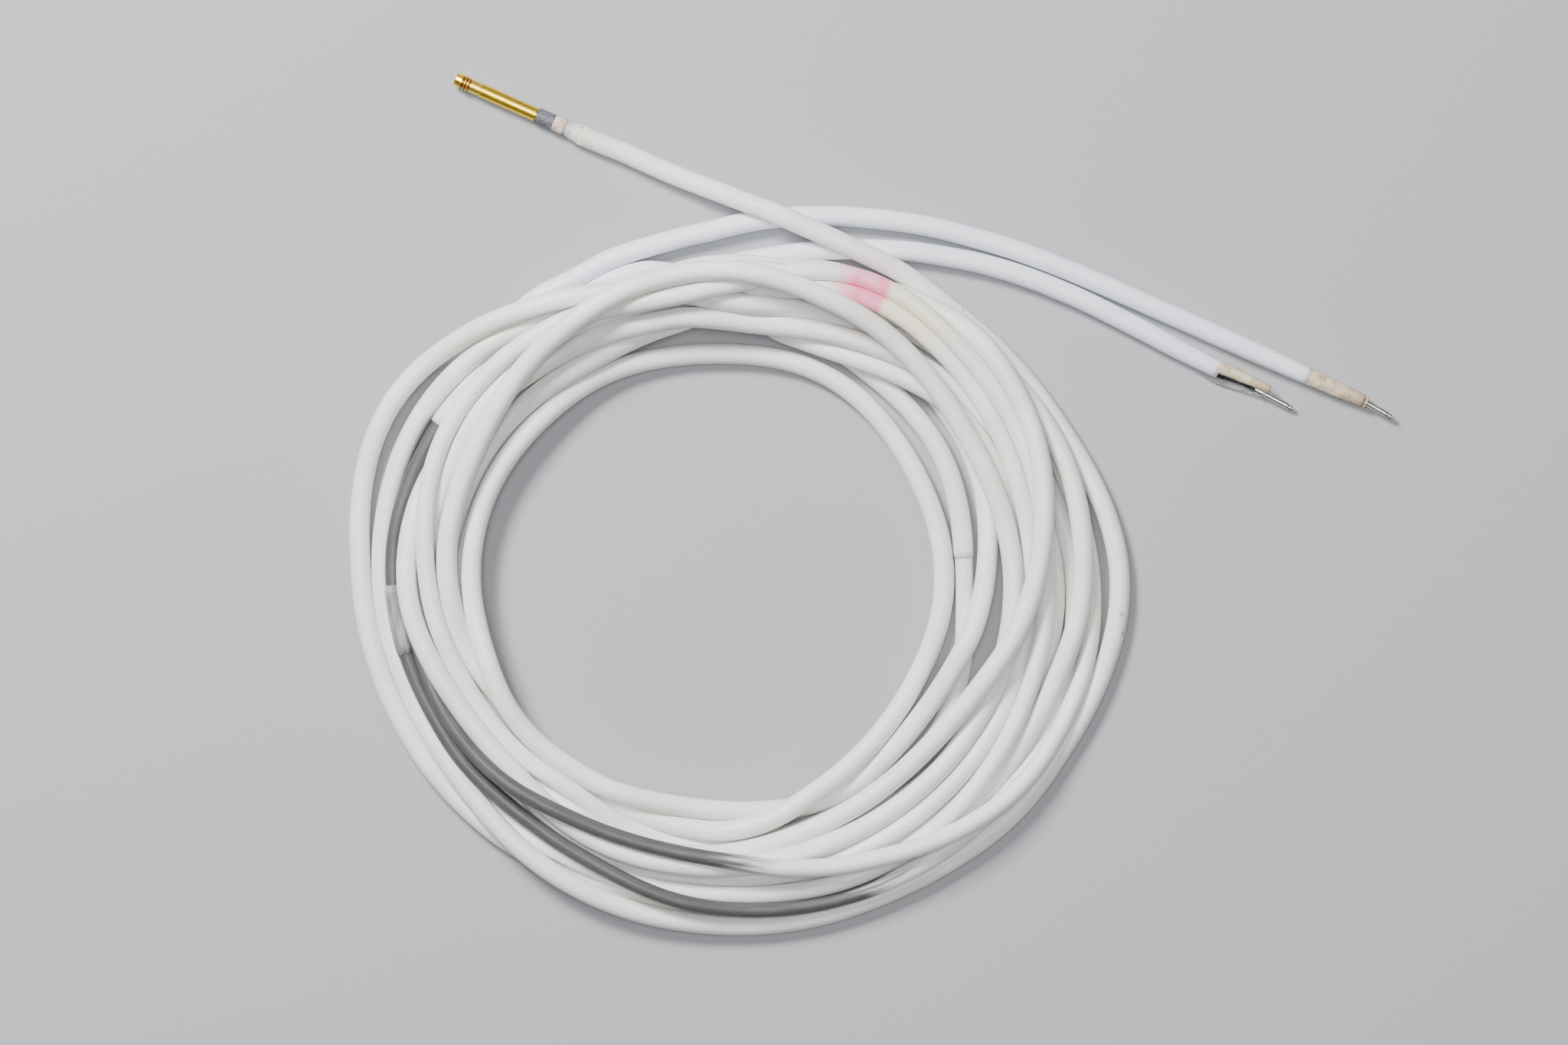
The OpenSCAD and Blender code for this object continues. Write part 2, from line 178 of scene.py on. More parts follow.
LEG_B_LAYERS = [
    (0.0, 0.0, 0.0, 0.0, 0.0, 0.0, 0.0, 0.0, 2.0, 2.5, 2.0, 2.0),
    (2.4, 2.4, 2.0, 1.5, 1.5, 2.0, 2.0, 1.0, 1.0, 0.5, 0.0, 1.0),
    (2.0, 0.6, 1.0, 1.0, 1.0, 3.0, 3.0, 3.0, 3.0, 1.0, 1.0, 0.0),
    (0.0, 0.0),
]

# The angles turned through where each cord joins and leaves the coil, in degrees.
TRUNK_SPAN = (50, 2498)
LEG_A_SPAN = (15, 1051)
LEG_B_SPAN = (15, 1068)
POINT_STEP = 5.0

# Radii of the cords and of the sleeves on them, in metres.
TRUNK_R = 0.0025
LEG_R = 0.0022
GREY_R = 0.0018
SLEEVE_R = 0.0025
SLEEVE_BORE = 0.00185
LEG_END_R = 0.0021
ROOT_SLEEVE_BORE = 0.00215
SPLICE_R = 0.00205
SPLICE_BORE = 0.00175

# Angles turned through, clockwise from the +Y direction, where the legs change.
GREY_FROM_A = 887.0
SLEEVE_FROM_A = 1045.0
GREY_FROM_B = 866.0
SLEEVE_FROM_B = 1021.0
ROOT_SLEEVE_TO_B = 84.0
SPLICE_B = (977.0, 990.0)
# Where the pink starts, where it turns yellow and where the yellow ends.
STAIN = (384.0, 391.5, 403.0)

# Distance between a cord's points, and the height that each cord under it adds, in metres.
SPACING = 0.0025
LAYER_RISE = 0.0032
# The wound cords reach this far straight into and out of the joint.
JOINT_LEAD = 0.005


def spline(values, at):
    """Catmull-Rom curve through the rows of values, at positions counted in rows."""
    values = np.asarray(values, float)
    row = np.clip(np.floor(at).astype(int), 0, len(values) - 2)
    part = at - row
    if values.ndim > 1:
        part = part[:, None]
    before = values[np.maximum(row - 1, 0)]
    here = values[row]
    there = values[row + 1]
    after = values[np.minimum(row + 2, len(values) - 1)]
    slope = there - before
    bow = 2 * before - 5 * here + 4 * there - after
    twist = 3 * here - before - 3 * there + after
    return here + 0.5 * (slope * part + bow * part**2 + twist * part**3)


def arc_length(line):
    """Distance along a line from its start to each of its points."""
    steps = np.linalg.norm(np.diff(line, axis=0), axis=1)
    return np.concatenate([[0.0], np.cumsum(steps)])


def resample(line, spacing):
    """The same line with evenly spaced points."""
    along = arc_length(line)
    even = np.linspace(0, along[-1], int(round(along[-1] / spacing)) + 1)
    return np.stack([np.interp(even, along, line[:, k]) for k in range(3)], 1)


def smooth_line(points):
    """One smooth curve through the points, evenly spaced."""
    fine = spline(points, np.linspace(0, len(points) - 1, 10 * len(points)))
    return resample(fine, SPACING)


def coil_points(turns, layers, first, last):
    """Points of a cord's turns, every few degrees from angle first to angle last."""
    distances = np.concatenate([np.array(row) for row in turns]) * 0.001
    heights = np.concatenate([np.array(row) for row in layers]) * LAYER_RISE
    points = []
    for turned in np.arange(first, last, POINT_STEP):
        at = np.array([turned / TABLE_STEP])
        distance = spline(distances, at)[0]
        height = TRUNK_R + spline(heights, at)[0]
        angle = math.radians(90.0 - turned)
        x = COIL_MIDDLE[0] + distance * math.cos(angle)
        y = COIL_MIDDLE[1] + distance * math.sin(angle)
        points.append((x, y, max(height, TRUNK_R)))
    return points


joint_axis = np.array([math.cos(JOINT_HEADING), math.sin(JOINT_HEADING), 0.0])
joint_side = np.array([-math.sin(JOINT_HEADING), math.cos(JOINT_HEADING), 0.0])
joint_inlet = JOINT_AT - JOINT_HALF * joint_axis
joint_outlet_a = JOINT_AT + JOINT_HALF * joint_axis - OUTLET_OFFSET * joint_side
joint_outlet_b = JOINT_AT + JOINT_HALF * joint_axis + OUTLET_OFFSET * joint_side


def wound_cords():
    """The three cords as they would lie if none of them was in another's way."""
    into_joint = [joint_inlet - JOINT_LEAD * joint_axis, joint_inlet]
    out_a = [joint_outlet_a, joint_outlet_a + JOINT_LEAD * joint_axis]
    out_b = [joint_outlet_b, joint_outlet_b + JOINT_LEAD * joint_axis]
    trunk = TRUNK_ROUTE + coil_points(TRUNK_TURNS, TRUNK_LAYERS, *TRUNK_SPAN) + into_joint
    leg_a = out_a + coil_points(LEG_A_TURNS, LEG_A_LAYERS, *LEG_A_SPAN) + LEG_A_ROUTE
    leg_b = out_b + coil_points(LEG_B_TURNS, LEG_B_LAYERS, *LEG_B_SPAN) + LEG_B_ROUTE
    return [smooth_line(np.array(points)) for points in (trunk, leg_a, leg_b)]


def angle_turned(line):
    """How far round the coil each point of a cord is, in degrees clockwise from +Y."""
    spokes = line[:, :2] - np.array(COIL_MIDDLE)
    angles = np.degrees(np.unwrap(np.arctan2(spokes[:, 1], spokes[:, 0])))
    return 90.0 - angles


def leg_radii(line, grey_from, sleeve_from, root_sleeve_to):
    """The radius that a leg needs at each point, its sleeves included."""
    turned = angle_turned(line)
    radii = np.full(len(line), LEG_R)
    radii[turned > grey_from] = GREY_R
    radii[turned > sleeve_from] = SLEEVE_R
    radii[turned < root_sleeve_to] = SLEEVE_R
    return radii


# ---------------------------------------------------------------- how the cords settle
# Settling works in millimetres, with a ball at each point of a cord.
ROUNDS = 420
ROUNDS_BETWEEN_SEARCHES = 10
# The last quarter of the rounds is gentle. In each round a ball sinks by the first number, is drawn
# back towards its wound place by the second, a share, and is evened out by the third, a count.
BRISK = (0.06, 0.06, 3)
GENTLE = (0.03, 0.018, 1)
GENTLE_FROM = 0.75
PUSHES_A_ROUND = 3
# The shares of a fault that are mended at a time: unevenness, length of a link, and last kinks.
EVENING = 0.25
LINK_FIX = 0.25
ROUNDING_OFF = 0.4
# A ball that n others push moves by the sum of the pushes over n to this power.
CROWDING = 0.6
# How many points stay where they were wound: at the plug, each side of the joint, at the legs' ends.
HELD_AT_PLUG = 10
HELD_AT_JOINT = 3
HELD_ON_LEG_A = 62
HELD_ON_LEG_B = 54
# Nearly this many points of a cord lie inside the joint, so they aren't pushed out of it.
INSIDE_JOINT = 7
# The joint is made of balls, too: how far along it they lie, in metres, and their radius.
JOINT_BALL_ROW = np.arange(-0.011, 0.0111, 0.0025)
JOINT_BALL_R = 2.9
# A search finds the balls less than JOINT_REACH from the middle of a joint ball, and the pairs with
# less than TOUCH_REACH between them. Up to NEIGHBOURS apart on one cord, they don't push each other.
JOINT_REACH = 8.0
TOUCH_REACH = 2.5
NEIGHBOURS = 5
# No length is taken as less than this, so that nothing is divided by zero.
SHORTEST = 1e-6


def close_pairs(places, radii, cord_of, reach):
    """Pairs of points, not neighbours on one cord, that are near enough to touch soon."""
    square = (places**2).sum(1)
    gap = square[:, None] + square[None, :] - 2 * places @ places.T
    limit = (radii[:, None] + radii[None, :] + reach) ** 2
    low, high = np.nonzero(np.triu(gap < limit, 1))
    far_along = (cord_of[low] != cord_of[high]) | (high - low > NEIGHBOURS)
    return low[far_along], high[far_along]


def add_up(index, amounts, count):
    """Sums the rows of amounts that share an index."""
    return np.stack([np.bincount(index, amounts[:, k], count) for k in range(3)], 1)


def lengths_of(vectors):
    """The length of each vector, never quite zero."""
    return np.maximum(np.linalg.norm(vectors, axis=1), SHORTEST)


def free_points(starts, count):
    """1 for each point that may move, and 0 for the held ones."""
    free = np.ones(count)
    free[:HELD_AT_PLUG] = 0
    free[starts[1] - HELD_AT_JOINT : starts[1] + HELD_AT_JOINT] = 0
    free[starts[2] - HELD_ON_LEG_A : starts[2] + HELD_AT_JOINT] = 0
    free[starts[3] - HELD_ON_LEG_B :] = 0
    return free


def points_between(cord_of, reach):
    """The points that have a point of their own cord this many steps before and after them."""
    order = np.arange(len(cord_of))
    ends = (order - reach >= 0) & (order + reach < len(cord_of))
    same = np.zeros(len(cord_of), bool)
    same[ends] = cord_of[order[ends] - reach] == cord_of[order[ends] + reach]
    return order[same]


def joint_ball_places():
    """The middles of the balls that stand for the joint: one row, then two for its outlets."""
    places = []
    for step in JOINT_BALL_ROW:
        sides = (0.0,) if step < 0 else (-OUTLET_OFFSET, OUTLET_OFFSET)
        for side in sides:
            places.append((JOINT_AT + step * joint_axis + side * joint_side) * 1000.0)
    return np.array(places)


class Settling:
    """The wound cords as rows of balls, which sink and push each other aside."""

    def __init__(self, cords, radii):
        counts = [len(line) for line in cords]
        self.starts = np.cumsum([0] + counts)
        self.cord_of = np.repeat(np.arange(len(cords)), counts)
        self.wound = np.concatenate(cords) * 1000.0
        self.places = self.wound.copy()
        self.radii = np.concatenate(radii) * 1000.0
        self.count = len(self.places)
        self.free = free_points(self.starts, self.count)
        self.movable = self.free[:, None]
        self.link = np.nonzero(self.cord_of[1:] == self.cord_of[:-1])[0]
        steps = self.wound[self.link + 1] - self.wound[self.link]
        self.link_length = np.linalg.norm(steps, axis=1)
        self.inner = {reach: points_between(self.cord_of, reach) for reach in (1, 3)}
        self.joint_balls = joint_ball_places()

    def search(self):
        """Finds the balls that are near each other, and those that are near the joint."""
        self.low, self.high = close_pairs(self.places, self.radii, self.cord_of, TOUCH_REACH)
        offset = self.places[:, None, :] - self.joint_balls[None]
        near, ball = np.nonzero((offset**2).sum(2) < JOINT_REACH**2)
        leg_a, leg_b = self.starts[1], self.starts[2]
        inside = (near > leg_a - INSIDE_JOINT) & (near < leg_a + INSIDE_JOINT)
        inside |= (near >= leg_b) & (near < leg_b + INSIDE_JOINT)
        self.near, self.joint_ball = near[~inside], ball[~inside]

    def sink(self, fall, pull, passes):
        """Lowers the balls, draws them back to their wound places and evens out their shifts."""
        self.places[:, 2] -= self.free * fall
        self.places[:, :2] += pull * self.movable * (self.wound[:, :2] - self.places[:, :2])
        shift = self.places - self.wound
        shift[:, 2] = self.places[:, 2]
        for _ in range(passes):
            for reach, inside in self.inner.items():
                middle = 0.5 * (shift[inside - reach] + shift[inside + reach])
                shift[inside] += EVENING * self.movable[inside] * (middle - shift[inside])
        self.places[:, :2] = self.wound[:, :2] + shift[:, :2]
        self.places[:, 2] = shift[:, 2]

    def keep_lengths(self):
        """Brings the balls of each link nearer to the distance that they were wound at."""
        along = self.places[self.link + 1] - self.places[self.link]
        fix = LINK_FIX * along * (1 - self.link_length / lengths_of(along))[:, None]
        from_ends = add_up(self.link, fix, self.count) - add_up(self.link + 1, fix, self.count)
        self.places += self.movable * from_ends

    def push_apart(self):
        """Pushes touching balls apart, each by its share."""
        between = self.places[self.high] - self.places[self.low]
        length = lengths_of(between)
        depth = self.radii[self.low] + self.radii[self.high] - length
        touching = depth > 0
        one, two = self.low[touching], self.high[touching]
        weight = np.maximum(self.free[one] + self.free[two], SHORTEST)
        push = between[touching] * (depth[touching] / length[touching])[:, None]
        shares = np.bincount(one, minlength=self.count) + np.bincount(two, minlength=self.count)
        move = add_up(two, push * (self.free[two] / weight)[:, None], self.count)
        move -= add_up(one, push * (self.free[one] / weight)[:, None], self.count)
        self.places += move / np.maximum(shares, 1)[:, None] ** CROWDING

    def push_off_joint(self):
        """Pushes the balls out of the joint."""
        away = self.places[self.near] - self.joint_balls[self.joint_ball]
        length = lengths_of(away)
        depth = np.maximum(self.radii[self.near] + JOINT_BALL_R - length, 0)
        shares = np.maximum(np.bincount(self.near[depth > 0], minlength=self.count), 1)
        move = add_up(self.near, away * (depth / length)[:, None], self.count)
        self.places += self.movable * move / shares[:, None]

    def stay_on_floor(self):
        """Lifts each free ball that has sunk into the floor."""
        lowest = np.where(self.free > 0, self.radii, 0)
        self.places[:, 2] = np.maximum(self.places[:, 2], lowest)

    def round_off(self):
        """Takes the last small kinks out of the cords."""
        inside = self.inner[1]
        for _ in range(3):
            middle = 0.5 * (self.places[inside - 1] + self.places[inside + 1])
            kink = middle - self.places[inside]
            self.places[inside] += ROUNDING_OFF * self.movable[inside] * kink


def settle(cords, radii):
    """Lets the wound cords sink onto the floor and each other, without passing through."""
    model = Settling(cords, radii)
    for number in range(ROUNDS):
        if number % ROUNDS_BETWEEN_SEARCHES == 0:
            model.search()
        model.sink(*(GENTLE if number > GENTLE_FROM * ROUNDS else BRISK))
        for _ in range(PUSHES_A_ROUND):
            model.keep_lengths()
            model.push_apart()
            model.push_off_joint()
            model.stay_on_floor()
    model.round_off()
    places = model.places * 0.001
    return [places[model.starts[k] : model.starts[k + 1]] for k in range(len(cords))]


wound = wound_cords()
wound_radii = [
    np.full(len(wound[0]), TRUNK_R),
    leg_radii(wound[1], GREY_FROM_A, SLEEVE_FROM_A, 0.0),
    leg_radii(wound[2], GREY_FROM_B, SLEEVE_FROM_B, ROOT_SLEEVE_TO_B),
]
trunk_line, leg_a_line, leg_b_line = settle(wound, wound_radii)


# ---------------------------------------------------------------- meshes along a line
def stretch(line, start, end, spacing=0.0018):
    """The part of a line between two distances along it, on a smooth curve."""
    along = arc_length(line)
    count = max(3, int(round((end - start) / spacing)) + 1)
    wanted = np.linspace(start, end, count)
    rows = np.interp(wanted, along, np.arange(len(line)))
    return spline(line, rows), wanted


def ring_frames(line):
    """The direction, the sideways direction and the upward one at each point."""
    ahead = np.gradient(line, axis=0)
    ahead /= np.linalg.norm(ahead, axis=1)[:, None]
    side = np.cross(np.array([0.0, 0.0, 1.0]), ahead)
    side /= np.linalg.norm(side, axis=1)[:, None]
    return ahead, side, np.cross(ahead, side)


def add_tube(name, line, along, radii, sides=20, bore=None, body="cable", bevel=0.0002):
    """A tube round a line, solid with closed ends, or hollow if bore gives its inner radii.

    The mesh keeps an attribute, straight: each point's place on the cord when it is straight."""
    ahead, side, up = ring_frames(line)
    turn = np.linspace(0, 2 * math.pi, sides, endpoint=False)
    rings = [(k, radii[k]) for k in range(len(line))]
    if bore is None:
        rings = [(0, radii[0] - bevel)] + rings + [(len(line) - 1, radii[-1] - bevel)]
    else:
        rings += [(k, bore[k]) for k in reversed(range(len(line)))]
    vertices, straight = [], []
    for k, radius in rings:
        out = np.cos(turn)[:, None] * side[k] + np.sin(turn)[:, None] * up[k]
        vertices.append(line[k] + radius * out)
        flat = np.stack([np.full(sides, along[k]), radius * np.cos(turn), radius * np.sin(turn)], 1)
        straight.append(flat)
    faces = []
    last_ring = len(rings) if bore is not None else len(rings) - 1
    for ring in range(last_ring):
        here = ring * sides
        there = ((ring + 1) % len(rings)) * sides
        for k in range(sides):
            after = (k + 1) % sides
            faces.append((here + k, here + after, there + after, there + k))
    if bore is None:
        faces.append(tuple(reversed(range(sides))))
        base = (len(rings) - 1) * sides
        faces.append(tuple(range(base, base + sides)))
    mesh = bpy.data.meshes.new(name)
    mesh.from_pydata(np.concatenate(vertices).tolist(), [], faces)
    mesh.attributes.new("straight", "FLOAT_VECTOR", "POINT")
    values = np.concatenate(straight).astype(np.float32).ravel()
    mesh.attributes["straight"].data.foreach_set("vector", values)
    mesh.shade_smooth()
    mesh.update()
    piece = bpy.data.objects.new(name, mesh)
    bpy.context.scene.collection.objects.link(piece)
    if body:
        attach(piece, body)
    return piece


def distance_at(line, turned):
    """How far along a cord it has turned through this angle."""
    return float(np.interp(turned, angle_turned(line), arc_length(line)))


# ---------------------------------------------------------------- the cords
# Real lengths, in metres.
# A leg gets thinner from this far before the place where it turns grey to this far behind it.
THINNING = (0.004, 0.016)
# A narrowing sleeve narrows over SLEEVE_TAPER, and at its cut ends a sleeve is thinner by CUT_EDGE.
SLEEVE_TAPER = 0.015
CUT_EDGE = 0.00012

trunk_path, trunk_along = stretch(trunk_line, 0, arc_length(trunk_line)[-1])
trunk_radii = np.full(len(trunk_path), TRUNK_R)
trunk = add_tube(
    "trunk_cord", trunk_path, trunk_along, trunk_radii, bevel=0.0
)
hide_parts("trunk_sleeve", "cable_coil", "trunk_core")


def add_leg(name, line, grey_from):
    """A leg, which gets thinner where it turns grey, and the path that it follows."""
    path, along = stretch(line, 0, arc_length(line)[-1])
    grey = distance_at(line, grey_from)
    radii = np.interp(along, [grey - THINNING[0], grey + THINNING[1]], [LEG_R, GREY_R])
    return add_tube(name, path, along, radii), path


leg_a, leg_a_path = add_leg("leg_a_cord", leg_a_line, GREY_FROM_A)
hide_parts("cable_coil", "grey_lead_a")
leg_b, leg_b_path = add_leg("leg_b_cord", leg_b_line, GREY_FROM_B)
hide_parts("cable_coil", "grey_lead_b")


def add_sleeve(name, line, start, end, outer, inner, end_radius=None):
    """A hollow sleeve on a leg, with cut ends, that may narrow towards its far end."""
    path, along = stretch(line, start, end)
    radii = np.full(len(path), outer)
    if end_radius:
        radii = np.interp(along, [end - SLEEVE_TAPER, end], [outer, end_radius])
    radii[[0, -1]] -= CUT_EDGE
    return add_tube(name, path, along, radii, bore=np.full(len(path), inner))


end_a = arc_length(leg_a_line)[-1]
end_b = arc_length(leg_b_line)[-1]
sleeve_a = add_sleeve(
    "leg_a_outer_sleeve", leg_a_line, distance_at(leg_a_line, SLEEVE_FROM_A), end_a,
    SLEEVE_R, SLEEVE_BORE, LEG_END_R,
)
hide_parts("leg_a_sleeve")
sleeve_b = add_sleeve(
    "leg_b_outer_sleeve", leg_b_line, distance_at(leg_b_line, SLEEVE_FROM_B), end_b,
    SLEEVE_R, SLEEVE_BORE, LEG_END_R,
)
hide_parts("leg_b_sleeve")
root_sleeve = add_sleeve(
    "leg_b_root_sleeve", leg_b_line, 0.001, distance_at(leg_b_line, ROOT_SLEEVE_TO_B),
    SLEEVE_R, ROOT_SLEEVE_BORE,
)
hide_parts("sleeve_joint")
splice = add_sleeve(
    "leg_b_splice_sleeve", leg_b_line, distance_at(leg_b_line, SPLICE_B[0]),
    distance_at(leg_b_line, SPLICE_B[1]), SPLICE_R, SPLICE_BORE,
)
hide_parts("splice_sleeve")


# ---------------------------------------------------------------- boots and strain relief
# Where each moulding starts, its heading in degrees from +X, and its length.
BOOT_A_START = LEG_A_ROUTE[-1]
BOOT_A_HEADING = -24.0
BOOT_A_LENGTH = 0.0142
BOOT_B_START = (0.08322, 0.03294, 0.0034)
BOOT_B_HEADING = -24.5
BOOT_B_LENGTH = 0.0139
RELIEF_START = (-0.07402, 0.09036, 0.0025)
RELIEF_HEADING = -24.0
RELIEF_LENGTH = 0.0044
# Mouldings are uneven in waves along them, except on points nearly at their middle.
MOULDING_WAVES = 17.0
NEARLY_MIDDLE = 0.0005


def straight_line(start, heading, length, count=24):
    """Evenly spaced points that run level from a point in a heading in degrees."""
    angle = math.radians(heading)
    reach = np.linspace(0, length, count)
    line = np.zeros((count, 3))
    line[:, 0] = start[0] + reach * math.cos(angle)
    line[:, 1] = start[1] + reach * math.sin(angle)
    line[:, 2] = start[2]
    return line, reach


def wobble(piece, line, amount, waves):
    """Makes a moulded piece slightly uneven, by moving its points from or to its line."""
    mesh = piece.data
    for number, vertex in enumerate(mesh.vertices):
        place = np.array(vertex.co)
        nearest = line[np.argmin(((line - place) ** 2).sum(1))]
        spoke = place - nearest
        turn = math.atan2(spoke[2], spoke[0] + spoke[1])
        reach = np.linalg.norm(nearest - line[0]) / np.linalg.norm(line[-1] - line[0])
        wave = math.sin(waves * reach + 2 * turn) + 0.6 * math.sin(2.3 * waves * reach - 3 * turn)
        size = np.linalg.norm(spoke)
        if size > NEARLY_MIDDLE:
            vertex.co = nearest + spoke * (1 + amount * wave / size)
    mesh.update()


def add_moulding(name, start, heading, length, stations, sizes, bore, amount):
    """A soft hollow moulding round a straight line, of the given radii at its stations.

    The amount is how far its surface wanders in or out, in metres."""
    line, reach = straight_line(start, heading, length)
    radii = np.interp(reach, stations, sizes)
    radii = np.convolve(np.pad(radii, 2, mode="edge"), np.full(5, 0.2), "valid")
    inner = np.minimum(np.full(len(reach), bore), radii - 0.0002)
    piece = add_tube(name, line, reach, radii, sides=32, bore=inner)
    wobble(piece, line, amount, MOULDING_WAVES)
    return piece


boot_a = add_moulding(
    "leg_a_soft_boot", BOOT_A_START, BOOT_A_HEADING, BOOT_A_LENGTH,
    [0, 0.004, 0.009, 0.0130, BOOT_A_LENGTH], [0.0021, 0.00205, 0.00185, 0.00158, 0.00150],
    0.00095, 0.00004,
)
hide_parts("leg_a_boot")
boot_b = add_moulding(
    "leg_b_soft_boot", BOOT_B_START, BOOT_B_HEADING, BOOT_B_LENGTH,
    [0, 0.0013, 0.0073, 0.0128, BOOT_B_LENGTH], [0.0015, 0.0016, 0.00125, 0.00098, 0.00090],
    0.0005, 0.00004,
)
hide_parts("leg_b_boot")
relief = add_moulding(
    "plug_strain_relief", RELIEF_START, RELIEF_HEADING, RELIEF_LENGTH,
    [0, 0.0006, 0.0018, 0.0032, 0.0041, RELIEF_LENGTH],
    [0.00168, 0.00185, 0.00218, 0.00244, 0.00252, 0.00215],
    0.0012, 0.00003,
)
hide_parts("strain_relief")


# Each arm of the joint: which side it spreads to, and where it starts and ends along the joint.
JOINT_ARMS = (
    (0.0, -JOINT_HALF, 0.0020),
    (1.0, -0.0060, JOINT_HALF),
    (-1.0, -0.0060, JOINT_HALF),
)
# The joint's radii at its stations.
JOINT_STATIONS = [-JOINT_HALF, -0.0050, 0.0040, JOINT_HALF]
JOINT_RADII = [0.0026, 0.0029, 0.0028, 0.00255]


def add_joint_moulding():
    """The moulded Y where the trunk splits: three tapered arms, melted into one skin."""
    arms = []
    for side, start, end in JOINT_ARMS:
        reach = np.linspace(start, end, 19)
        spread = np.interp(reach, [start, end], [0.0, side * OUTLET_OFFSET])
        line = JOINT_AT + reach[:, None] * joint_axis + spread[:, None] * joint_side
        radii = np.interp(reach, JOINT_STATIONS, JOINT_RADII)
        arms.append(add_tube("joint_arm", line, reach, radii, sides=28, body=None))
    with bpy.context.temp_override(active_object=arms[0], selected_editable_objects=arms):
        bpy.ops.object.join()
    rough = arms[0]
    remesh = rough.modifiers.new("melt", "REMESH")
    remesh.mode = "VOXEL"
    remesh.voxel_size = 0.00032
    smooth = rough.modifiers.new("smooth", "SMOOTH")
    smooth.iterations = 14
    bpy.context.view_layer.update()
    melted = rough.evaluated_get(bpy.context.evaluated_depsgraph_get())
    mesh = bpy.data.meshes.new_from_object(melted)
    mesh.name = "cable_y_joint"
    mesh.shade_smooth()
    bpy.data.objects.remove(rough)
    moulding = bpy.data.objects.new("cable_y_joint", mesh)
    bpy.context.scene.collection.objects.link(moulding)
    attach(moulding, "cable")
    return moulding


joint = add_joint_moulding()
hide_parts("y_joint")


# ---------------------------------------------------------------- materials
class Surface:
    """A Principled material under construction. Most methods add a node and give its output."""

    def __init__(self, name, **sockets):
        self.material = bpy.data.materials.new(name)
        self.material.use_nodes = True
        self.tree = self.material.node_tree
        self.shader = self.tree.nodes["Principled BSDF"]
        for socket, value in sockets.items():
            self.shader.inputs[socket.replace("_", " ")].default_value = value

    def node(self, kind, values, output=0, **settings):
        """A node with its settings, its numbered inputs set or linked, and one output."""
        made = self.tree.nodes.new(kind)
        for setting, value in settings.items():
            setattr(made, setting, value)
        for number, value in values.items():
            if isinstance(value, bpy.types.NodeSocket):
                self.tree.links.new(value, made.inputs[number])
            else:
                made.inputs[number].default_value = value
        return made.outputs[output]

    def along_cord(self):
        """Places on the cord when it is straight: x is the distance along it."""
        return self.node(
            "ShaderNodeAttribute", {}, 1, attribute_type="GEOMETRY", attribute_name="straight"
        )

    def in_frame(self):
        """Places in the shared frame, because each object sits at the origin."""
        return self.node("ShaderNodeTexCoord", {}, 3)

    def scaled(self, where, x, y, z):
        """Places stretched by a factor on each axis."""
        return self.node("ShaderNodeVectorMath", {0: where, 1: (x, y, z)}, operation="MULTIPLY")

    def distance(self, where, point):
        """How far each place is from a point."""
        return self.node("ShaderNodeVectorMath", {0: where, 1: point}, 1, operation="DISTANCE")

    def part(self, where, axis):
        """One coordinate of the places: 0 is x, 1 is y and 2 is z."""
        return self.node("ShaderNodeSeparateXYZ", {0: where}, axis)

    def noise(self, where, scale, detail):
        """Smooth noise around 0.5, finer when the scale is higher."""
        return self.node("ShaderNodeTexNoise", {0: where, 2: scale, 3: detail})

    def math(self, operation, one, two):
        """One number made from two."""
        return self.node("ShaderNodeMath", {0: one, 1: two}, operation=operation)

    def rise(self, value, low, high, to_low=0.0, to_high=1.0):
        """Goes smoothly from one number to another while the value goes from low to high."""
        inputs = {0: value, 1: low, 2: high, 3: to_low, 4: to_high}
        return self.node("ShaderNodeMapRange", inputs, interpolation_type="SMOOTHSTEP")

    def blend(self, share, one, two):
        """A colour between two, the share being that of the second."""
        one = one if isinstance(one, bpy.types.NodeSocket) else (*one, 1.0)
        two = two if isinstance(two, bpy.types.NodeSocket) else (*two, 1.0)
        return self.node("ShaderNodeMix", {0: share, 6: one, 7: two}, 2, data_type="RGBA")

    def clouded(self, where, scale, detail, low, high, one, two):
        """One colour clouded with another: noise under low is the first, over high the second."""
        return self.blend(self.rise(self.noise(where, scale, detail), low, high), one, two)

    def colour(self, value):
        """Links the shader's colour."""
        self.tree.links.new(value, self.shader.inputs["Base Color"])

    def roughness(self, value):
        """Links the shader's roughness."""
        self.tree.links.new(value, self.shader.inputs["Roughness"])

    def bump(self, height, depth, strength):
        """Raises the surface by up to the depth, in metres."""
        out = self.node("ShaderNodeBump", {0: strength, 1: depth, "Height": height})
        self.tree.links.new(out, self.shader.inputs["Normal"])

    def uneven_gloss(self, where, scale, detail, low, high):
        """Roughness that wanders between two numbers."""
        self.roughness(self.rise(self.noise(where, scale, detail), 0.3, 0.7, low, high))

    def grain(self, where, scale, detail, depth, strength):
        """Fine unevenness, up to the depth in metres."""
        self.bump(self.noise(where, scale, detail), depth, strength)

    def paint(self, *pieces):
        """Gives the material to every slot of the pieces."""
        for piece in pieces:
            if not piece.data.materials:
                piece.data.materials.append(self.material)
            for slot in piece.material_slots:
                slot.material = self.material


SILICONE = {
    "IOR": 1.42,
    "Subsurface_Weight": 0.10,
    "Subsurface_Radius": (0.0016, 0.0013, 0.0011),
    "Subsurface_Scale": 1.0,
}
WARM_WHITE = (0.76, 0.752, 0.72)
BRIGHT_WHITE = (0.82, 0.82, 0.80)
# Where the trunk leaves the strain relief, both are this colour.
CLOUDY_CREAM = (0.68, 0.68, 0.59)


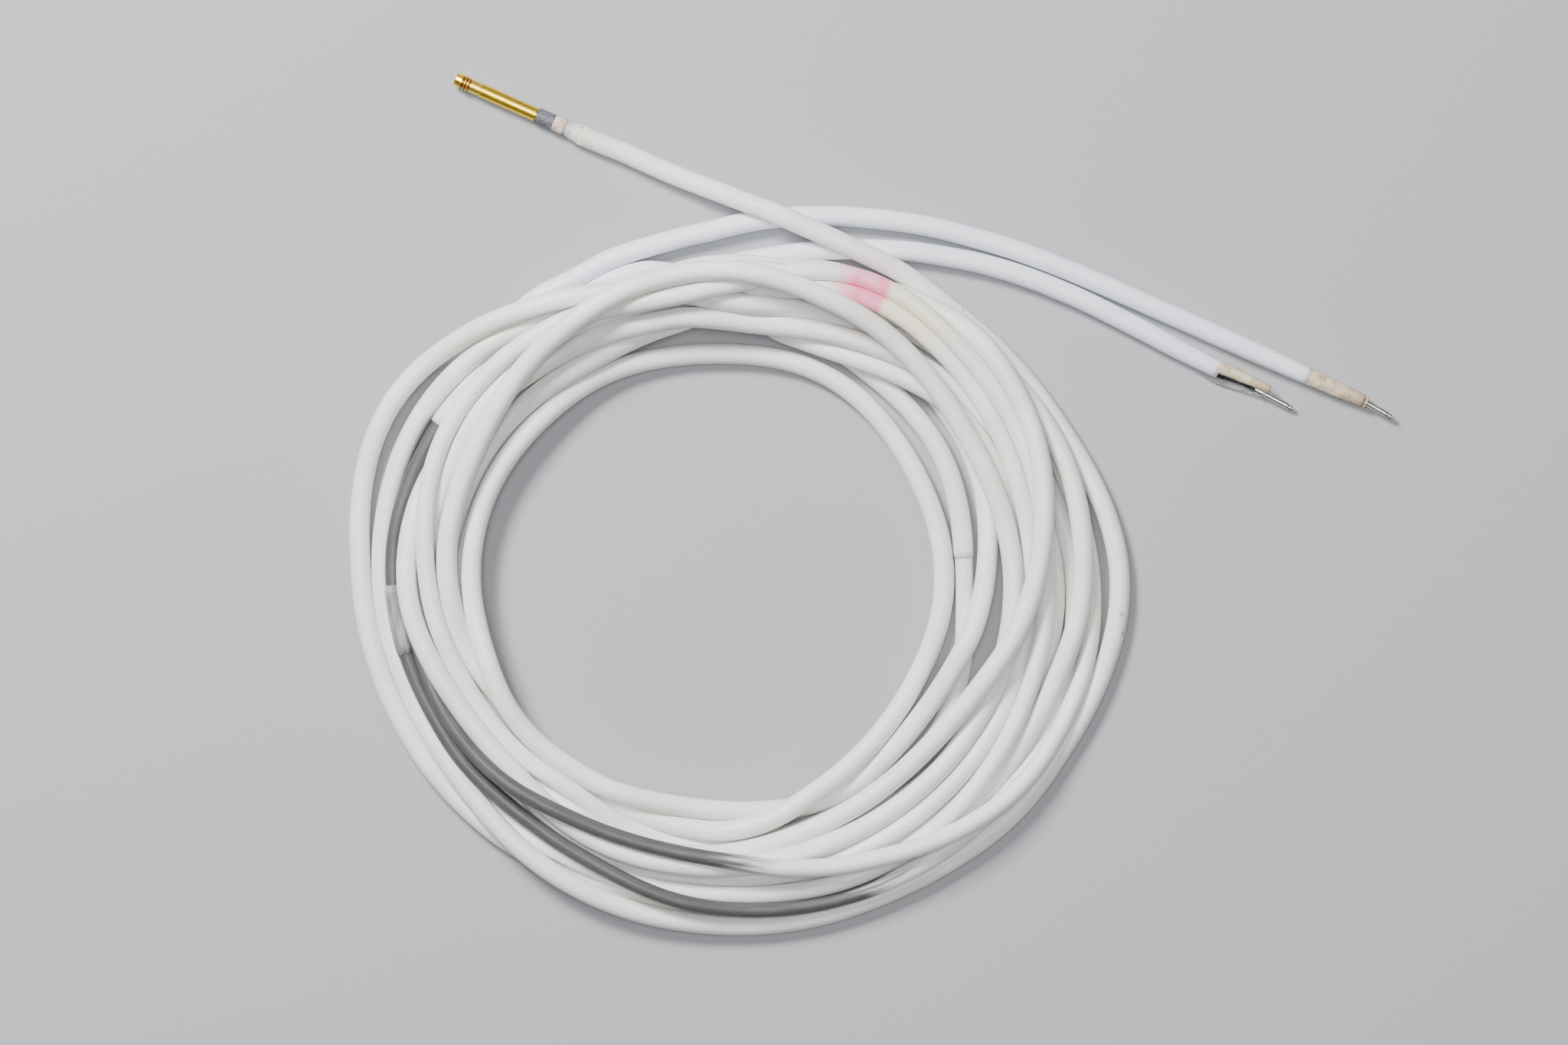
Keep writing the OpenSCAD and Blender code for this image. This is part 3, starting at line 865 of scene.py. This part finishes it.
def silicone_skin(surface, where, white, bright):
    """Clouded white silicone with faint specks, as a colour; it sets roughness and bump too."""
    colour = surface.clouded(where, 55.0, 3.0, 0.35, 0.65, white, bright)
    yellow = surface.rise(surface.noise(surface.scaled(where, 1, 3, 3), 22.0, 1.0), 0.56, 0.72)
    yellow = surface.math("MULTIPLY", yellow, 0.45)
    colour = surface.blend(yellow, colour, (0.72, 0.69, 0.60))
    dust = surface.rise(surface.noise(where, 2300.0, 1.0), 0.69, 0.74)
    dust = surface.math("MULTIPLY", dust, 0.35)
    colour = surface.blend(dust, colour, (0.42, 0.40, 0.37))
    fine = surface.noise(where, 1100.0, 4.0)
    surface.roughness(surface.rise(fine, 0.3, 0.7, 0.34, 0.50))
    drawn = surface.noise(surface.scaled(where, 60, 900, 900), 1.0, 2.0)
    surface.bump(surface.math("ADD", fine, drawn), 0.00004, 0.35)
    return colour


def spot(surface, where, place, size, fuzz):
    """1 inside a small uneven spot on the straight cord, and 0 outside it."""
    ragged = surface.math("MULTIPLY", surface.noise(where, 2600.0, 2.0), fuzz)
    away = surface.math("ADD", surface.distance(where, place), ragged)
    return surface.rise(away, size * 0.6 + fuzz * 0.5, size + fuzz * 0.5, 1.0, 0.0)


def trunk_material():
    """White silicone, cream at the plug, with a few small dark marks."""
    surface = Surface("white_silicone", **SILICONE)
    where = surface.along_cord()
    colour = silicone_skin(surface, where, WARM_WHITE, BRIGHT_WHITE)
    along = surface.part(where, 0)
    near_plug = surface.rise(along, 0.000, 0.012, 0.92, 0.0)
    colour = surface.blend(near_plug, colour, CLOUDY_CREAM)
    marks = [
        ((0.0008, -0.0014, 0.0021), 0.00030),
        ((0.0038, -0.0015, 0.0020), 0.00026),
        ((distance_at(trunk_line, 43.0), 0.0015, 0.0017), 0.00060),
        ((distance_at(trunk_line, 94.0), 0.0008, 0.0023), 0.00060),
        ((distance_at(trunk_line, 96.5), 0.0019, 0.0015), 0.00060),
    ]
    for place, size in marks:
        mark = surface.math("MULTIPLY", spot(surface, where, place, size, 1.33 * size), 0.6)
        colour = surface.blend(mark, colour, (0.20, 0.19, 0.18))
    surface.colour(colour)
    return surface


def leg_material(name, line, grey_from):
    """White silicone that turns streaky, then grey, with the pink and yellow stain."""
    surface = Surface(name, **SILICONE)
    where = surface.along_cord()
    along = surface.part(where, 0)
    colour = silicone_skin(surface, where, WARM_WHITE, BRIGHT_WHITE)
    stain_start, stain_end, yellow_end = [distance_at(line, turned) for turned in STAIN]
    ragged = surface.math("MULTIPLY", surface.noise(where, 300.0, 3.0), 0.004)
    ragged = surface.math("ADD", surface.math("SUBTRACT", ragged, 0.002), along)
    yellow = surface.math(
        "MULTIPLY",
        surface.rise(ragged, stain_end - 0.002, stain_end + 0.001),
        surface.rise(ragged, yellow_end - 0.003, yellow_end + 0.006, 0.55, 0.0),
    )
    colour = surface.blend(yellow, colour, (0.86, 0.78, 0.50))
    pink = surface.math(
        "MULTIPLY",
        surface.rise(ragged, stain_start - 0.003, stain_start + 0.003),
        surface.rise(ragged, stain_end - 0.0005, stain_end + 0.0015, 0.95, 0.0),
    )
    blotch = surface.rise(surface.noise(where, 330.0, 2.0), 0.30, 0.62, 0.75, 1.0)
    colour = surface.blend(surface.math("MULTIPLY", pink, blotch), colour, (0.92, 0.22, 0.40))
    start = distance_at(line, grey_from)
    streaks = surface.noise(surface.scaled(where, 70, 950, 950), 1.0, 3.0)
    streaks = surface.math("MULTIPLY", surface.math("SUBTRACT", streaks, 0.5), 0.030)
    edge = surface.math("ADD", along, streaks)
    grey = surface.rise(edge, start - 0.004, start + 0.013, 0.0, 0.94)
    dusty = surface.rise(surface.noise(surface.scaled(where, 130, 900, 900), 1.0, 3.0), 0.38, 0.72)
    lead = surface.blend(dusty, (0.030, 0.029, 0.029), (0.055, 0.052, 0.052))
    surface.colour(surface.blend(grey, colour, lead))
    return surface


trunk_material().paint(trunk)
leg_material("leg_a_silicone", leg_a_line, GREY_FROM_A).paint(leg_a)
leg_material("leg_b_silicone", leg_b_line, GREY_FROM_B).paint(leg_b)


def plain_silicone(name, on_cord, white, bright):
    """Silicone without stains, laid out along a cord or in the shared frame."""
    surface = Surface(name, **SILICONE)
    where = surface.along_cord() if on_cord else surface.in_frame()
    surface.colour(silicone_skin(surface, where, white, bright))
    return surface


plain_silicone("root_sleeve_silicone", True, WARM_WHITE, BRIGHT_WHITE).paint(root_sleeve)
plain_silicone("joint_silicone", False, WARM_WHITE, BRIGHT_WHITE).paint(joint)
cool_white = plain_silicone("cool_silicone", True, (0.74, 0.76, 0.84), (0.79, 0.81, 0.88))
cool_white.paint(sleeve_a, sleeve_b)


def frosted_material():
    """Milky half-clear sleeve, streaked along the cord."""
    surface = Surface("frosted_sleeve", Roughness=0.5, **SILICONE)
    where = surface.along_cord()
    streaks = surface.scaled(where, 120, 700, 700)
    dark, milky = (0.17, 0.17, 0.17), (0.36, 0.36, 0.35)
    surface.colour(surface.clouded(streaks, 1.0, 3.0, 0.35, 0.7, dark, milky))
    surface.grain(where, 1500.0, 3.0, 0.00005, 0.5)
    return surface


def relief_material():
    """Cloudy silicone, grey at the plug and cream at the trunk, with murky patches and a nick."""
    surface = Surface("cloudy_silicone", **SILICONE)
    where = surface.along_cord()
    ragged = surface.math("MULTIPLY", surface.noise(where, 900.0, 3.0), 0.0014)
    along = surface.math("ADD", surface.part(where, 0), ragged)
    to_trunk = surface.rise(along, 0.0006, 0.0036)
    colour = surface.blend(to_trunk, (0.40, 0.41, 0.45), CLOUDY_CREAM)
    murk = surface.rise(surface.noise(where, 1900.0, 3.0), 0.50, 0.74, 0.0, 0.6)
    murk = surface.math("MULTIPLY", murk, surface.rise(along, 0.0030, 0.0042, 1.0, 0.15))
    colour = surface.blend(murk, colour, (0.24, 0.25, 0.25))
    nick = spot(surface, where, (0.0034, 0.0014, 0.0017), 0.0004, 0.0005)
    surface.colour(surface.blend(nick, colour, (0.03, 0.03, 0.03)))
    surface.uneven_gloss(where, 1500.0, 2.0, 0.32, 0.55)
    surface.grain(where, 1200.0, 4.0, 0.00010, 0.6)
    return surface


frosted_material().paint(splice)
relief_material().paint(relief)


def boot_material(name, line_length, dirt):
    """Yellowed silicone, stained brown at its mouth and dotted with dark dirt.

    The dirt is a level of noise: the higher it is, the less dirt there is."""
    surface = Surface(name, **SILICONE)
    where = surface.along_cord()
    colour = surface.clouded(where, 420.0, 4.0, 0.36, 0.64, (0.45, 0.36, 0.23), (0.66, 0.57, 0.42))
    mouth = surface.rise(surface.part(where, 0), 0.68 * line_length, line_length, 0.0, 0.55)
    colour = surface.blend(mouth, colour, (0.40, 0.30, 0.18))
    smudge = surface.rise(surface.noise(where, 600.0, 3.0), dirt - 0.04, dirt + 0.14, 0.0, 0.55)
    colour = surface.blend(smudge, colour, (0.30, 0.21, 0.12))
    specks = surface.rise(surface.noise(where, 2300.0, 3.0), dirt, dirt + 0.13, 0.0, 0.9)
    side = surface.rise(surface.part(where, 1), -0.0008, 0.0014, 0.25, 1.0)
    colour = surface.blend(surface.math("MULTIPLY", specks, side), colour, (0.10, 0.07, 0.05))
    surface.colour(colour)
    surface.uneven_gloss(where, 900.0, 3.0, 0.38, 0.62)
    surface.grain(where, 1400.0, 4.0, 0.00010, 0.6)
    return surface


boot_material("stained_boot_a", BOOT_A_LENGTH, 0.56).paint(boot_a)
boot_material("stained_boot_b", BOOT_B_LENGTH, 0.62).paint(boot_b)

# The tips and headings of the plug and the two pins, which are turned about their axes.
PLUG_TIP = (-0.1006, 0.1022, 0.0025)
PLUG_HEADING = -24.0
PIN_A_TIP = (0.118572, 0.024424, 0.0025)
PIN_A_HEADING = -30.0
PIN_B_TIP = (0.0946, 0.0262, 0.00185)
PIN_B_HEADING = -28.0


def turned_metal(name, origin, heading, clean, worn, groove, groove_radii, groove_end, roughness):
    """Turned metal: lathe rings across a level axis, and painted shade down in its grooves, a darker
    colour where the metal lies close to the axis.

    The groove colour fades out between the two groove radii, and ends at groove_end from the origin."""
    surface = Surface(name, Metallic=1.0)
    angle = math.radians(heading)
    axis = (math.cos(angle), math.sin(angle), 0.0)
    where = surface.in_frame()
    offset = surface.node("ShaderNodeVectorMath", {0: where, 1: origin}, operation="SUBTRACT")
    along = surface.node("ShaderNodeVectorMath", {0: offset, 1: axis}, 1, operation="DOT_PRODUCT")
    across = surface.node("ShaderNodeVectorMath", {0: offset, 1: axis}, operation="CROSS_PRODUCT")
    radius = surface.node("ShaderNodeVectorMath", {0: across}, 1, operation="LENGTH")
    rings = surface.noise(surface.node("ShaderNodeCombineXYZ", {0: along}), 5200.0, 2.0)
    colour = surface.clouded(where, 420.0, 3.0, 0.42, 0.70, clean, worn)
    # Painted shade: close to the axis, down in the grooves, the metal takes the darker groove colour.
    groove_shade = surface.rise(radius, groove_radii[0], groove_radii[1], 0.92, 0.0)
    groove_shade = surface.math("MULTIPLY", groove_shade, surface.math("LESS_THAN", along, groove_end))
    surface.colour(surface.blend(groove_shade, colour, groove))
    scuffs = surface.noise(where, 1700.0, 3.0)
    mixed = surface.math("ADD", surface.math("MULTIPLY", rings, 0.7), scuffs)
    surface.roughness(surface.rise(mixed, 0.6, 1.2, roughness - 0.04, roughness + 0.07))
    surface.bump(mixed, 0.000004, 0.6)
    return surface


gold = turned_metal(
    "gold_plate", PLUG_TIP, PLUG_HEADING, clean=(1.0, 0.70, 0.07), worn=(0.98, 0.64, 0.06),
    groove=(0.36, 0.15, 0.03), groove_radii=(0.00110, 0.00130), groove_end=0.0300, roughness=0.34,
)
gold.paint(nodes["plug_tip"], nodes["plug_barrel"])
# The darker colour down in the thread's grooves is painted shade.
thread_gold = turned_metal(
    "thread_plate_groove_shade", PLUG_TIP, PLUG_HEADING, clean=(1.0, 0.72, 0.13), worn=(0.94, 0.62, 0.10),
    groove=(0.30, 0.11, 0.02), groove_radii=(0.00152, 0.00184), groove_end=0.0039, roughness=0.36,
)
thread_gold.paint(nodes["threaded_bush"])
stem_gold = turned_metal(
    "stem_plate", PLUG_TIP, PLUG_HEADING, clean=(0.88, 0.62, 0.15), worn=(0.70, 0.45, 0.12),
    groove=(0.45, 0.25, 0.06), groove_radii=(0.0001, 0.0006), groove_end=0.0300, roughness=0.35,
)
stem_gold.paint(nodes["contact_stem"])
steel = turned_metal(
    "spring_steel", PLUG_TIP, PLUG_HEADING, clean=(0.62, 0.60, 0.56), worn=(0.45, 0.42, 0.38),
    groove=(0.20, 0.17, 0.13), groove_radii=(0.0011, 0.0013), groove_end=0.0300, roughness=0.32,
)
steel.paint(nodes["spring_washers"], nodes["retaining_ring"])
nickel_a = turned_metal(
    "scratched_nickel_a", PIN_A_TIP, PIN_A_HEADING, clean=(0.84, 0.82, 0.77), worn=(0.68, 0.65, 0.59),
    groove=(0.16, 0.14, 0.12), groove_radii=(0.00054, 0.00058), groove_end=0.0200, roughness=0.30,
)
nickel_a.paint(nodes["leg_a_pin"])
nickel_b = turned_metal(
    "scratched_nickel_b", PIN_B_TIP, PIN_B_HEADING, clean=(0.86, 0.84, 0.80), worn=(0.70, 0.67, 0.62),
    groove=(0.16, 0.14, 0.12), groove_radii=(0.00054, 0.00058), groove_end=0.0200, roughness=0.28,
)
nickel_b.paint(nodes["leg_b_pin"], nodes["leg_b_rings"])


def crimp_material():
    """Dark mottled metal with blacker pits."""
    surface = Surface("mottled_crimp", Metallic=0.25)
    where = surface.in_frame()
    dark, light = (0.085, 0.085, 0.10), (0.19, 0.185, 0.215)
    colour = surface.clouded(where, 1700.0, 4.0, 0.30, 0.72, dark, light)
    pits = surface.rise(surface.noise(where, 3400.0, 2.0), 0.56, 0.74, 0.0, 0.7)
    surface.colour(surface.blend(pits, colour, (0.05, 0.05, 0.05)))
    surface.uneven_gloss(where, 1800.0, 3.0, 0.42, 0.68)
    surface.grain(where, 1900.0, 4.0, 0.00014, 0.7)
    return surface


def band_material():
    """Beige band with painted shade: it turns dark grey away from the middle of its top, where it stays
    lightest.
    """
    surface = Surface("band_painted_shade")
    where = surface.in_frame()
    dark, light = (0.52, 0.38, 0.27), (0.74, 0.62, 0.48)
    colour = surface.clouded(where, 800.0, 3.0, 0.36, 0.64, dark, light)
    # Painted shade: the band darkens to grey with distance from a point in the middle of its top.
    edge = surface.rise(surface.distance(where, (-0.0752, 0.0912, 0.0040)), 0.0017, 0.0027)
    surface.colour(surface.blend(edge, colour, (0.30, 0.28, 0.28)))
    surface.uneven_gloss(where, 1500.0, 3.0, 0.45, 0.7)
    surface.grain(where, 1700.0, 4.0, 0.00012, 0.6)
    return surface


def amber_material():
    """Glassy yellow resin."""
    surface = Surface("amber_lip", Transmission_Weight=0.25, IOR=1.45)
    where = surface.in_frame()
    dark, light = (0.42, 0.33, 0.14), (0.66, 0.58, 0.34)
    surface.colour(surface.clouded(where, 1600.0, 3.0, 0.35, 0.65, dark, light))
    surface.uneven_gloss(where, 1200.0, 2.0, 0.16, 0.34)
    return surface


def insulation_material():
    """Glossy black insulation, dusty in places."""
    surface = Surface("black_insulation", IOR=1.5)
    where = surface.in_frame()
    black, dusty = (0.018, 0.018, 0.020), (0.07, 0.07, 0.07)
    surface.colour(surface.clouded(where, 1100.0, 4.0, 0.45, 0.68, black, dusty))
    surface.uneven_gloss(where, 1600.0, 3.0, 0.18, 0.42)
    surface.grain(where, 1900.0, 3.0, 0.00006, 0.5)
    return surface


def copper_material():
    """Dull bare copper strands."""
    surface = Surface("dull_strands", Metallic=0.9)
    where = surface.in_frame()
    dark, light = (0.28, 0.16, 0.09), (0.56, 0.38, 0.26)
    surface.colour(surface.clouded(where, 2000.0, 3.0, 0.35, 0.65, dark, light))
    surface.uneven_gloss(where, 2400.0, 2.0, 0.35, 0.6)
    return surface


def strand_material():
    """Fine grey strand, half metallic."""
    surface = Surface("grey_strand", Metallic=0.3)
    where = surface.in_frame()
    dark, light = (0.16, 0.16, 0.16), (0.42, 0.42, 0.42)
    surface.colour(surface.clouded(where, 1500.0, 3.0, 0.35, 0.65, dark, light))
    surface.uneven_gloss(where, 2400.0, 2.0, 0.3, 0.5)
    return surface


crimp_material().paint(nodes["crimp_sleeve"])
band_material().paint(nodes["crimp_band"])
amber_material().paint(nodes["leg_a_lip"])
insulation_material().paint(nodes["leg_b_core"], nodes["leg_a_core"])
copper_material().paint(nodes["leg_a_wire"])
strand_material().paint(nodes["leg_b_strand"])
